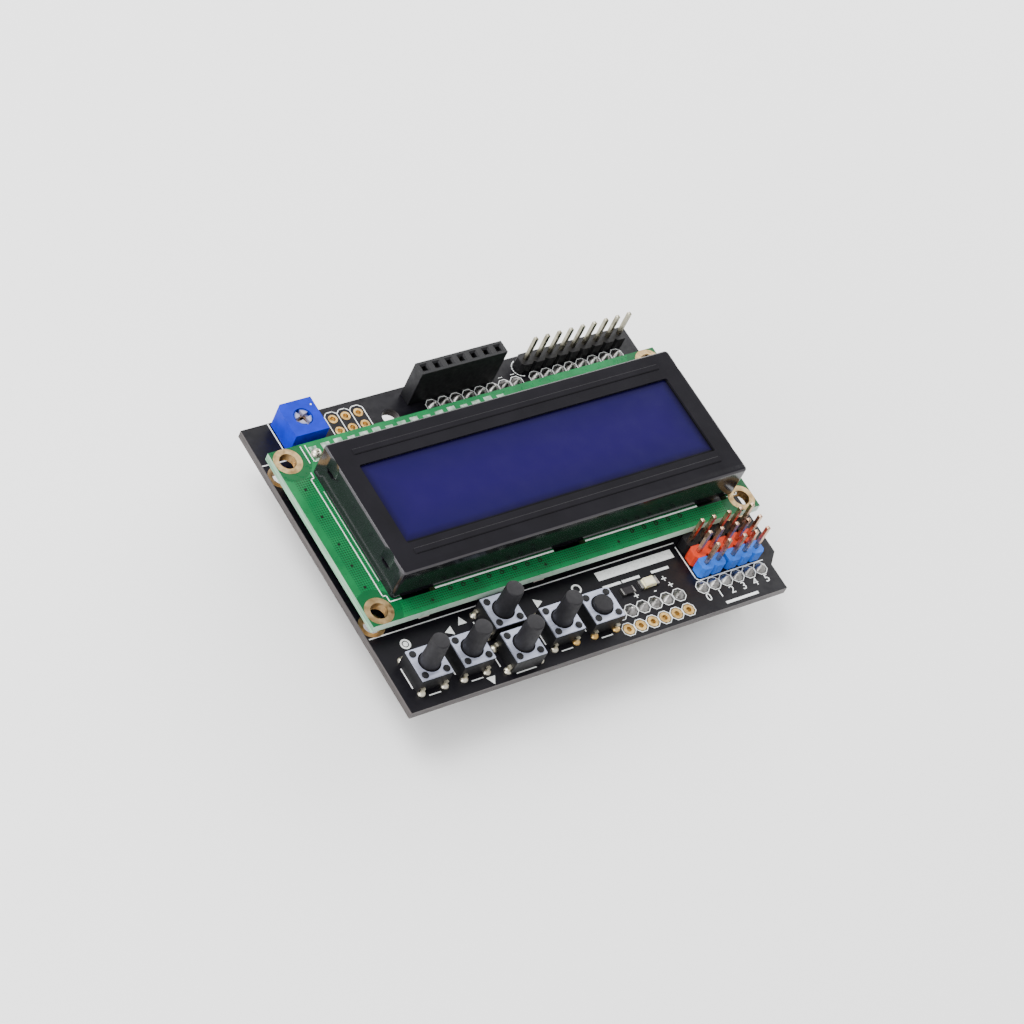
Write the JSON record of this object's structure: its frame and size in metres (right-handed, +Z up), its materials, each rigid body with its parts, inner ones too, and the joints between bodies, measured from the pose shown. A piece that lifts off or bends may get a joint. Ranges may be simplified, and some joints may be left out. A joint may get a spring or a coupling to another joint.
{
  "type": "character lcd keypad module",
  "caption": "Character display module on a carrier board with push buttons, contrast trimmer, socket and pin headers.",
  "frame": {"origin": "middle of the footprint of both boards, level with the tips of the long header pins", "axes": "+X along the boards, from the trimmer and select button towards the notched end; +Y from the button edge towards the trimmer edge; +Z up out of the display"},
  "size_m": [0.0804, 0.0584, 0.0215],
  "materials": {
    "carrier_board": "semi-gloss solder mask over glass fibre",
    "display_board": "green solder mask over glass fibre",
    "black_frame": "gloss black painted steel",
    "polarizer": "smooth blue-violet film",
    "display_glass": "clear",
    "zebra_rubber": "matt",
    "light_guide": "milky",
    "led_strip": "satin",
    "black_epoxy": "matt",
    "chip_ceramic": "satin with metal ends",
    "header_plastic": "satin moulded",
    "pin_metal": "bright tinned",
    "socket_plastic": "satin moulded",
    "blue_plastic": "satin moulded",
    "red_plastic": "satin moulded",
    "trimmer_blue": "satin moulded",
    "rotor_plastic": "satin",
    "led_resin": "milky",
    "contact_metal": "bright",
    "button_base_plastic": "satin moulded",
    "button_plate": "bright brushed",
    "plunger_plastic": "matt moulded"
  },
  "bodies": {
    "board": {"analog_pins": "pin_metal", "analog_strip": "header_plastic", "backlight_guide": "light_guide", "backlight_led_board": "led_strip", "backlight_transistor": "black_epoxy", "digital_high_pins": "pin_metal", "digital_high_strip": "header_plastic", "digital_low_pins": "pin_metal", "digital_low_strip": "header_plastic", "down_base": "button_base_plastic", "down_cover": "button_plate", "driver_chips": "black_epoxy", "ladder_resistors": "chip_ceramic", "lcd_bezel": "black_frame", "lcd_board": "display_board", "lcd_chip_resistors": "chip_ceramic", "lcd_glass_front": "display_glass", "lcd_glass_rear": "display_glass", "lcd_header_pins": "pin_metal", "lcd_header_strip": "header_plastic", "led_resistor": "chip_ceramic", "left_base": "button_base_plastic", "left_cover": "button_plate", "module_socket_body": "socket_plastic", "module_socket_contacts": "pin_metal", "nine_pin_pins": "pin_metal", "nine_pin_strip": "header_plastic", "polarizer_front": "polarizer", "polarizer_rear": "polarizer", "power_led": "led_resin", "power_pins": "pin_metal", "power_strip": "header_plastic", "reset_base": "button_base_plastic", "reset_cover": "button_plate", "right_base": "button_base_plastic", "right_cover": "button_plate", "select_base": "button_base_plastic", "select_cover": "button_plate", "shield_board": "carrier_board", "signal_pins": "pin_metal", "signal_strip_black": "header_plastic", "signal_strip_blue": "blue_plastic", "signal_strip_red": "red_plastic", "switch_contacts": "contact_metal", "switch_domes": "contact_metal", "trimmer_body": "trimmer_blue", "trimmer_leads": "pin_metal", "up_base": "button_base_plastic", "up_cover": "button_plate", "zebra_strips": "zebra_rubber"},
    "trimmer_rotor": {"trimmer_rotor": "rotor_plastic"},
    "select_button": {"select_plunger": "plunger_plastic"},
    "left_button": {"left_plunger": "plunger_plastic"},
    "up_button": {"up_plunger": "plunger_plastic"},
    "down_button": {"down_plunger": "plunger_plastic"},
    "right_button": {"right_plunger": "plunger_plastic"},
    "reset_button": {"reset_plunger": "plunger_plastic"}
  },
  "joints": [
    {"name": "select_press", "type": "slide", "parent": "board", "child": "select_button", "axis": [0, 0, -1], "range_m": [0, 0.00025], "stiffness_N_per_m": 400, "springref_m": -0.0005},
    {"name": "left_press", "type": "slide", "parent": "board", "child": "left_button", "axis": [0, 0, -1], "range_m": [0, 0.00025], "stiffness_N_per_m": 400, "springref_m": -0.0005},
    {"name": "up_press", "type": "slide", "parent": "board", "child": "up_button", "axis": [0, 0, -1], "range_m": [0, 0.00025], "stiffness_N_per_m": 400, "springref_m": -0.0005},
    {"name": "down_press", "type": "slide", "parent": "board", "child": "down_button", "axis": [0, 0, -1], "range_m": [0, 0.00025], "stiffness_N_per_m": 400, "springref_m": -0.0005},
    {"name": "right_press", "type": "slide", "parent": "board", "child": "right_button", "axis": [0, 0, -1], "range_m": [0, 0.00025], "stiffness_N_per_m": 400, "springref_m": -0.0005},
    {"name": "reset_press", "type": "slide", "parent": "board", "child": "reset_button", "axis": [0, 0, -1], "range_m": [0, 0.00025], "stiffness_N_per_m": 400, "springref_m": -0.0005},
    {"name": "trimmer_turn", "type": "hinge", "parent": "board", "child": "trimmer_rotor", "pos_m": [-0.03113, 0.02564, 0.01525], "axis": [0, 0, 1], "range_deg": [-130, 130]}
  ]
}
